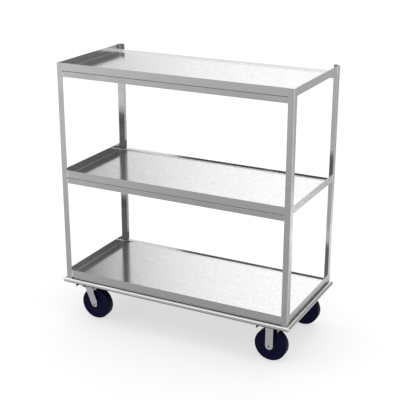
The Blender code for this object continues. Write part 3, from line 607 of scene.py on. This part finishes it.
def grid_of_bolts():
    """Geometry nodes: one bolt repeated on the four corners of a rectangle round a point."""
    tree, given = new_maker("plate_bolts", {"Bolt": "Object", "Spacing X": "Float", "Spacing Y": "Float",
                                            "Centre": "Vector", "Finish": "Material"})
    corners = add_node(tree, "GeometryNodeMeshGrid", {"Size X": given["Spacing X"], "Size Y": given["Spacing Y"],
                                                      "Vertices X": 2, "Vertices Y": 2})
    moved = add_node(tree, "GeometryNodeTransform", {"Geometry": corners.outputs["Mesh"],
                                                     "Translation": given["Centre"]})
    bolt = add_node(tree, "GeometryNodeObjectInfo", {"Object": given["Bolt"]})
    placed = add_node(tree, "GeometryNodeInstanceOnPoints", {"Points": moved.outputs[0],
                                                             "Instance": bolt.outputs["Geometry"]})
    return end_maker(tree, placed.outputs[0], given["Finish"])


def grown(name, tree, values):
    """The tree's result with these named inputs, as a plain mesh piece. Its pattern objects are then removed."""
    item = bpy.data.objects.new(name, bpy.data.meshes.new(name))
    bpy.context.scene.collection.objects.link(item)
    maker = item.modifiers.new("maker", "NODES")
    maker.node_group = tree
    for socket in tree.interface.items_tree:
        if socket.in_out == "INPUT" and socket.name in values:
            maker[socket.identifier] = values[socket.name]
    settled = bpy.data.meshes.new_from_object(item.evaluated_get(bpy.context.evaluated_depsgraph_get()))
    item.modifiers.clear()
    item.data = settled
    for value in values.values():
        if isinstance(value, bpy.types.Object):
            bpy.data.objects.remove(value)
    return item


BOLT_TREE = grid_of_bolts()
BOLT_ZINC = plated_steel("bright_zinc_plated_bolt_steel", "#d2d2cd", "#bebeb8", 0.26)
CORNERS = ("front_left", "rear_left", "front_right", "rear_right")
for corner in CORNERS:
    node = bolted_node(corner)
    head_top = plate_bottom(node)
    pattern = lofted("bolt_pattern", bolt_rings(head_top - BOLT_HEAD, head_top))
    centre = plate_centre(node)
    bolts = grown(f"plate_bolts_{corner}", BOLT_TREE, {"Bolt": pattern, "Spacing X": BOLT_SPACING_X,
                                                       "Spacing Y": BOLT_SPACING_Y,
                                                       "Centre": (centre.x, centre.y, 0), "Finish": BOLT_ZINC})
    bolts.data.set_sharp_from_angle(angle=SHARP)
    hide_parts(node)
    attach(bolts, "cart_frame")


# Wheels
# Solid wheels, 8 inch, injection moulded in one piece from dark navy nylon: a flat tread with rounded shoulders, a
# shallow dish in each face, and a hub boss that stands out to the fork legs. The tread is painted darker than the
# faces, as painted shade.

def moulded_nylon(name, colour, worn):
    """Dark navy nylon straight from the mould: a fine even grain, and a paler, duller bloom in slow clouds."""
    finish, tree, shader = new_finish(name, IOR=1.45, Specular_IOR_Level=0.10)
    place = add_node(tree, "ShaderNodeTexCoord").outputs["Object"]
    clouds = add_node(tree, "ShaderNodeTexNoise", {"Vector": place, "Scale": 26.0, "Detail": 4.0})
    grain = add_node(tree, "ShaderNodeTexNoise", {"Vector": place, "Scale": 1100.0, "Detail": 2.0})
    reach = add_node(tree, "ShaderNodeMapRange", {"Value": clouds.outputs["Fac"], "From Min": 0.45, "From Max": 0.8,
                                                  "To Max": 0.6})
    tone = add_node(tree, "ShaderNodeMix", {0: reach.outputs[0], 6: linear(colour), 7: linear(worn)},
                    data_type="RGBA")
    tree.links.new(tone.outputs[2], shader.inputs["Base Color"])
    rough = add_node(tree, "ShaderNodeMapRange", {"Value": clouds.outputs["Fac"], "From Min": 0.3, "From Max": 0.7,
                                                  "To Min": 0.34, "To Max": 0.46})
    tree.links.new(rough.outputs[0], shader.inputs["Roughness"])
    bump = add_node(tree, "ShaderNodeBump", {"Height": grain.outputs["Fac"], "Strength": 0.10, "Distance": 0.0002})
    tree.links.new(bump.outputs[0], shader.inputs["Normal"])
    return finish


def quarter(centre_r, centre_z, radius, start, end, steps=5):
    """Points (radius, z) round a shoulder."""
    angles = [math.radians(start + (end - start) * step / steps) for step in range(steps + 1)]
    return [(centre_r + radius * math.cos(a), centre_z + radius * math.sin(a)) for a in angles]


WHEEL_RADIUS = 0.1016
TREAD_HALF = 0.0235
HUB_HALF = 0.0330
DISH_DEPTH = 0.0026
BORE = 0.0135


def wheel_profile():
    """Closed section of the wheel, from the tread's middle to the bore, then mirrored about its middle plane."""
    upper = [(WHEEL_RADIUS, 0.0)]
    upper += quarter(WHEEL_RADIUS - 0.0024, TREAD_HALF - 0.0024, 0.0024, 0, 90)    # the tread's shoulder
    upper += quarter(0.0895, TREAD_HALF - 0.0008, 0.0008, 90, 150, 3)              # the rim's inner edge
    upper += [(0.0875, TREAD_HALF - 0.0022), (0.0860, TREAD_HALF - DISH_DEPTH)]    # down into the dish
    upper += [(0.0340, TREAD_HALF - DISH_DEPTH), (0.0310, TREAD_HALF - 0.0020)]
    upper += [(0.0275, TREAD_HALF + 0.0005), (0.0232, TREAD_HALF + 0.0030)]        # and up the boss
    upper += quarter(0.0210, HUB_HALF - 0.0012, 0.0012, 0, 90, 3)
    upper += [(0.0150, HUB_HALF), (BORE, HUB_HALF - 0.0012)]
    return upper + [(radius, -z) for radius, z in reversed(upper[1:])]


def turned(name, profile, count, closed=False):
    """The profile (radius, z) turned about Z."""
    return lofted(name, [round_ring(radius, z, count) for radius, z in profile], closed)


def wheel_middle(corner):
    """The middle of a wheel, on its axle's middle line."""
    low, high = (Vector(point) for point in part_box(f"wheel_{corner}"))
    return (low + high) / 2


def on_axle(item, corner):
    """Moves a piece drawn about Z onto its wheel's axle, its foot outward."""
    outward = -1 if corner.startswith("front") else 1
    item.data.transform(Matrix.Translation(wheel_middle(corner)) @ Matrix.Rotation(outward * math.pi / 2, 4, "X"))
    return item


NYLON = moulded_nylon("moulded_navy_nylon", "#06052a", "#0e0d36")
# Painted shade: the tread is painted darker than the wheel's faces.
TREAD_PAINTED_SHADE = moulded_nylon("nylon_tread_painted_shade", "#020114", "#040320")
TREAD_SHADE_FROM = WHEEL_RADIUS - 0.0010
for corner in CORNERS:
    wheel = on_axle(turned(f"moulded_wheel_{corner}", wheel_profile(), 96, closed=True), corner)
    fitted(wheel, f"wheel_{corner}", NYLON)
    axle = wheel_middle(corner)
    second_finish(wheel, TREAD_PAINTED_SHADE, lambda face: (face.center.xz - axle.xz).length > TREAD_SHADE_FROM)


# Wheel bearings
# Ten hardened rollers in a pressed steel sleeve run on a ground bushing, which the axle clamps between the legs.

def ground_steel(name, colour, roughness):
    """Hardened and ground steel: bright, with fine hoops left by the wheel, drawn 0.6 mm apart."""
    finish, tree, shader = new_finish(name, Metallic=1.0)
    place = add_node(tree, "ShaderNodeTexCoord").outputs["Object"]
    hoops = add_node(tree, "ShaderNodeMapping", {"Vector": place, "Scale": (60.0, 1600.0, 60.0)})
    marks = add_node(tree, "ShaderNodeTexNoise", {"Vector": hoops.outputs[0], "Scale": 1.0, "Detail": 2.0})
    tone = add_node(tree, "ShaderNodeMix", {0: marks.outputs["Fac"], 6: linear("#8e8e90"), 7: linear(colour)},
                    data_type="RGBA")
    tree.links.new(tone.outputs[2], shader.inputs["Base Color"])
    rough = add_node(tree, "ShaderNodeMapRange", {"Value": marks.outputs["Fac"], "To Min": roughness,
                                                  "To Max": roughness + 0.12})
    tree.links.new(rough.outputs[0], shader.inputs["Roughness"])
    return finish


def ring_of_copies():
    """Geometry nodes: a pattern repeated round a circle in the XY plane, and a carrier that holds the copies."""
    tree, given = new_maker("ring_of_copies", {"Pattern": "Object", "Count": "Int", "Circle Radius": "Float",
                                               "Carrier": "Object", "Finish": "Material"})
    circle = add_node(tree, "GeometryNodeMeshCircle", {"Vertices": given["Count"], "Radius": given["Circle Radius"]})
    pattern = add_node(tree, "GeometryNodeObjectInfo", {"Object": given["Pattern"]})
    carrier = add_node(tree, "GeometryNodeObjectInfo", {"Object": given["Carrier"]})
    copies = add_node(tree, "GeometryNodeInstanceOnPoints", {"Points": circle.outputs["Mesh"],
                                                             "Instance": pattern.outputs["Geometry"]})
    both = add_node(tree, "GeometryNodeJoinGeometry")
    tree.links.new(copies.outputs[0], both.inputs[0])
    tree.links.new(carrier.outputs["Geometry"], both.inputs[0])
    return end_maker(tree, both.outputs[0], given["Finish"])


RING_TREE = ring_of_copies()
BEARING = ground_steel("ground_bearing_steel", "#c8c8ca", 0.18)
ROLLER_HALF = 0.0320        # half the rollers' and the sleeve's length
ROLLER = [(0, -ROLLER_HALF), (0.0014, -ROLLER_HALF), (0.0017, -ROLLER_HALF + 0.0003),
          (0.0017, ROLLER_HALF - 0.0003), (0.0014, ROLLER_HALF), (0, ROLLER_HALF)]
SLEEVE = [(0.0098, -ROLLER_HALF), (0.0122, -ROLLER_HALF), (0.0122, ROLLER_HALF), (0.0098, ROLLER_HALF)]
ROLLER_CIRCLE = 0.0115
BUSHING_HALF = 0.0350
AXLE_BORE = 0.00665         # the bore of what sits on the axle, bushing and nut
BUSHING = [(AXLE_BORE, -BUSHING_HALF), (0.0091, -BUSHING_HALF), (0.0095, -BUSHING_HALF + 0.0004),
           (0.0095, BUSHING_HALF - 0.0004), (0.0091, BUSHING_HALF), (AXLE_BORE, BUSHING_HALF)]
for corner in CORNERS:
    rollers = grown(f"caged_rollers_{corner}", RING_TREE,
                    {"Pattern": turned("roller_pattern", ROLLER, 12), "Count": 10, "Circle Radius": ROLLER_CIRCLE,
                     "Carrier": turned("sleeve_pattern", SLEEVE, 40, closed=True), "Finish": BEARING})
    fitted(on_axle(rollers, corner), f"roller_bearing_{corner}", BEARING)
    bushing = turned(f"ground_bushing_{corner}", BUSHING, 40, closed=True)
    fitted(on_axle(bushing, corner), f"spanner_bushing_{corner}", BEARING)


# Swivel balls
# Twelve hardened balls in a flat pressed cage, between the plate's race and the crown's.

BALL_RADIUS = 0.00476
BALL_CIRCLE = 0.034
BALL_STEPS = 10
BALL = [(0, -BALL_RADIUS),
        *((BALL_RADIUS * math.sin(math.pi * step / BALL_STEPS), -BALL_RADIUS * math.cos(math.pi * step / BALL_STEPS))
          for step in range(1, BALL_STEPS)),
        (0, BALL_RADIUS)]
CAGE = [(0.032, -0.001), (0.036, -0.001), (0.036, 0.001), (0.032, 0.001)]
for corner in ("front_left", "rear_left"):
    balls = grown(f"caged_balls_{corner}", RING_TREE,
                  {"Pattern": turned("ball_pattern", BALL, 20), "Count": 12, "Circle Radius": BALL_CIRCLE,
                   "Carrier": turned("cage_pattern", CAGE, 60, closed=True), "Finish": BEARING})
    low, high = (Vector(point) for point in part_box(f"swivel_balls_{corner}"))
    balls.data.transform(Matrix.Translation((low + high) / 2))
    fitted(balls, f"swivel_balls_{corner}", BEARING)


# Axles
# A half-inch bolt through each wheel: a low round head with a hexagon socket on the outer leg, a lock nut and two
# turns of thread on the inner one. Bright zinc plate over turned steel; the socket is painted near black, as painted
# shade.

LEG_FACE = 0.0418           # from the wheel's middle to a fork leg's outer face
AXLE_RADIUS = 0.00635
AXLE_HEAD = 0.0045
SOCKET_RADIUS = 0.0040
SOCKET_DEPTH = 0.0055
AXLE_TIP = 0.0551
LOCK_NUT_FLATS = 0.019
LOCK_NUT_HEIGHT = 0.011


def axle_profile():
    """From the bottom of the socket out over the head, along the shank and over the thread."""
    face = -LEG_FACE
    head = face - AXLE_HEAD
    profile = [(0, head + SOCKET_DEPTH), (SOCKET_RADIUS, head + SOCKET_DEPTH), (SOCKET_RADIUS, head + 0.0003),
               (SOCKET_RADIUS + 0.0003, head), (0.0075, head)]
    profile += quarter(0.0080, head + 0.0030, 0.0030, 270, 360, 4)
    profile += [(0.0110, face), (AXLE_RADIUS, face), (AXLE_RADIUS, 0.0525)]
    for turn_number in range(2):
        z = 0.0530 + 0.0009 * turn_number
        profile += [(0.0058, z), (AXLE_RADIUS, z + 0.00045)]
    return profile + [(0.0056, AXLE_TIP), (0, AXLE_TIP)]


def lock_nut(name, flats, bore, foot, top):
    """Hexagon nut with both faces chamfered."""
    flat = flats / 2 * CHAMFER_FLAT
    return lofted(name, [
        round_ring(bore, foot + 0.0004, HEX_POINTS), round_ring(bore + 0.0004, foot, HEX_POINTS),
        round_ring(flat, foot, HEX_POINTS),
        hexagon_ring(flats, foot + 0.0002, HEX_POINTS, -CHAMFER),
        hexagon_ring(flats, top - 0.0002, HEX_POINTS, CHAMFER),
        round_ring(flat, top, HEX_POINTS),
        round_ring(bore + 0.0004, top, HEX_POINTS), round_ring(bore, top - 0.0004, HEX_POINTS),
    ], closed=True)


def in_the_socket(face, bolt, axle):
    """A face of the axle's socket: well outside the wheel, and no wider than the socket. These get painted shade."""
    outer_end = abs(face.center.y) - abs(axle.y) > 0.035
    points = [bolt.data.vertices[index].co for index in face.vertices]
    return outer_end and max((point.xz - axle.xz).length for point in points) < SOCKET_RADIUS + 0.0002


# Painted shade: the socket in each axle head is painted near black.
SOCKET_PAINTED_SHADE = painted_shade_clouds("painted_shade_in_the_socket", "#0b0b0b", "#1d1c1b", 0.0, 0.7)
for corner in CORNERS:
    axle = wheel_middle(corner)
    axle_bolt = fitted(on_axle(turned(f"axle_bolt_turned_{corner}", axle_profile(), 36), corner),
                       f"axle_bolt_{corner}", BOLT_ZINC)
    second_finish(axle_bolt, SOCKET_PAINTED_SHADE, lambda face: in_the_socket(face, axle_bolt, axle))
    nut = lock_nut(f"axle_lock_nut_{corner}", LOCK_NUT_FLATS, AXLE_BORE, LEG_FACE, LEG_FACE + LOCK_NUT_HEIGHT)
    fitted(on_axle(nut, corner), f"axle_nut_{corner}", BOLT_ZINC)


# Floor, light and camera
# A pale seamless floor under a wide soft studio. The light comes from behind and above; what polished steel mirrors
# below the horizon is a middle grey, so the floor isn't seen in it.

FLOOR_HALF = 80.0
floor_mesh = bpy.data.meshes.new("studio_floor")
floor_mesh.from_pydata([(-FLOOR_HALF, -FLOOR_HALF, 0), (FLOOR_HALF, -FLOOR_HALF, 0), (FLOOR_HALF, FLOOR_HALF, 0),
                        (-FLOOR_HALF, FLOOR_HALF, 0)], [], [(0, 1, 2, 3)])
floor = bpy.data.objects.new("studio_floor", floor_mesh)
bpy.context.scene.collection.objects.link(floor)
floor_mesh.materials.append(new_finish("matt_white_studio_floor", Roughness=0.9, Base_Color=linear("#aaaaaa"),
                                       Emission_Color=linear("#ffffff"), Emission_Strength=0.62)[0])
floor.visible_glossy = False

# Each lobe: bearing from straight behind the cart, clockwise from above, and height above the horizon, both in
# degrees, then its sharpness and the light that it adds or, as a black screen does, takes away
LOBES = [
    (0, 90, 2.2, 0.85),             # the wide soft light overhead
    (0, -90, 1.0, -0.68),           # less light from near the ground
    (-28, 6, 30.0, 0.35),           # a card low behind, left
    (-24, 24, 25.0, 0.73),          # and the one over it
    (-46, 22, 14.0, -1.12),         # a screen farther left
    (-39, 25, 300.0, -0.90),        # and its near edge, which the left end of the bottom shelf mirrors
    (31, 18, 8.0, -0.57),           # a wide screen behind, right
    (24, 24, 30.0, -0.43),          # its darkest part
    (152, 22, 7.0, -0.80),          # a wide screen in front, right
    (-161, 19, 30.0, -0.64),        # a narrow one in front, left
    (-144, 42, 12.0, -0.30),        # and one higher up beside it
    (20.3, -21.5, 1200.0, 0.80),    # a bright edge low behind, right, which the right ends mirror
    (105, -10, 40.0, 0.90),         # a small light low on the right, for welds and the bumper's corner
    (150, -20, 12.0, 0.73),         # light from low in front, right
    (-143, -12, 20.0, 0.35),        # and left
    (-150, -26, 30.0, -0.20),       # a darker patch near the ground there
    (-150, -14, 30.0, -0.29),       # and one just below the horizon
]
STUDIO_LEVEL = 0.94    # the light from every direction, before the lobes
DARKEST = 0.03         # no direction is darker than this
studio = bpy.data.worlds.new("soft_studio")
studio.use_nodes = True
sky = studio.node_tree
sky.nodes.clear()
toward = add_node(sky, "ShaderNodeTexCoord").outputs["Generated"]
base = add_node(sky, "ShaderNodeValue")
base.outputs[0].default_value = STUDIO_LEVEL
total = base.outputs[0]
for bearing, height, sharpness, amount in LOBES:
    around, above = math.radians(bearing), math.radians(height)
    aim = (math.sin(around) * math.cos(above), math.cos(around) * math.cos(above), math.sin(above))
    nearness = add_node(sky, "ShaderNodeVectorMath", {0: toward, 1: aim}, operation="DOT_PRODUCT")
    fall = add_node(sky, "ShaderNodeMath", {0: nearness.outputs["Value"], 1: sharpness, 2: -sharpness},
                    operation="MULTIPLY_ADD")
    lobe = add_node(sky, "ShaderNodeMath", {0: fall.outputs[0]}, operation="EXPONENT")
    total = add_node(sky, "ShaderNodeMath", {0: lobe.outputs[0], 1: amount, 2: total},
                     operation="MULTIPLY_ADD").outputs[0]
bright = add_node(sky, "ShaderNodeMath", {0: total, 1: DARKEST}, operation="MAXIMUM")
glow = add_node(sky, "ShaderNodeBackground", {"Color": (1, 1, 1, 1), "Strength": bright.outputs[0]})
add_node(sky, "ShaderNodeOutputWorld", {"Surface": glow.outputs[0]})
bpy.context.scene.world = studio

# The camera stands in front of the cart and to its right, as the post corners, shelf edges and wheels show it.
# Its angles are in radians, and ROLL turns it about its own line of sight.
AZIMUTH = 0.4779
ELEVATION = 0.33895
ROLL = -0.0003
AIM_POINT = Vector((0, 0, 0.8403))
DISTANCE = 5.9573
lens = bpy.data.cameras.new("camera")
lens.lens = 86.01
lens.sensor_width = 36.0
lens.shift_x = 0.0059
lens.shift_y = -0.0074
camera = bpy.data.objects.new("camera", lens)
bpy.context.scene.collection.objects.link(camera)
forward = Vector((-math.sin(AZIMUTH) * math.cos(ELEVATION), math.cos(AZIMUTH) * math.cos(ELEVATION),
                  -math.sin(ELEVATION)))
right = forward.cross(Vector((0, 0, 1))).normalized()
up = right.cross(forward)
right_rolled = math.cos(ROLL) * right + math.sin(ROLL) * up
up_rolled = math.cos(ROLL) * up - math.sin(ROLL) * right
facing = Matrix((right_rolled, up_rolled, -forward)).transposed().to_4x4()
camera.matrix_world = Matrix.Translation(AIM_POINT - DISTANCE * forward) @ facing
bpy.context.scene.camera = camera
bpy.context.scene.view_settings.view_transform = "Standard"
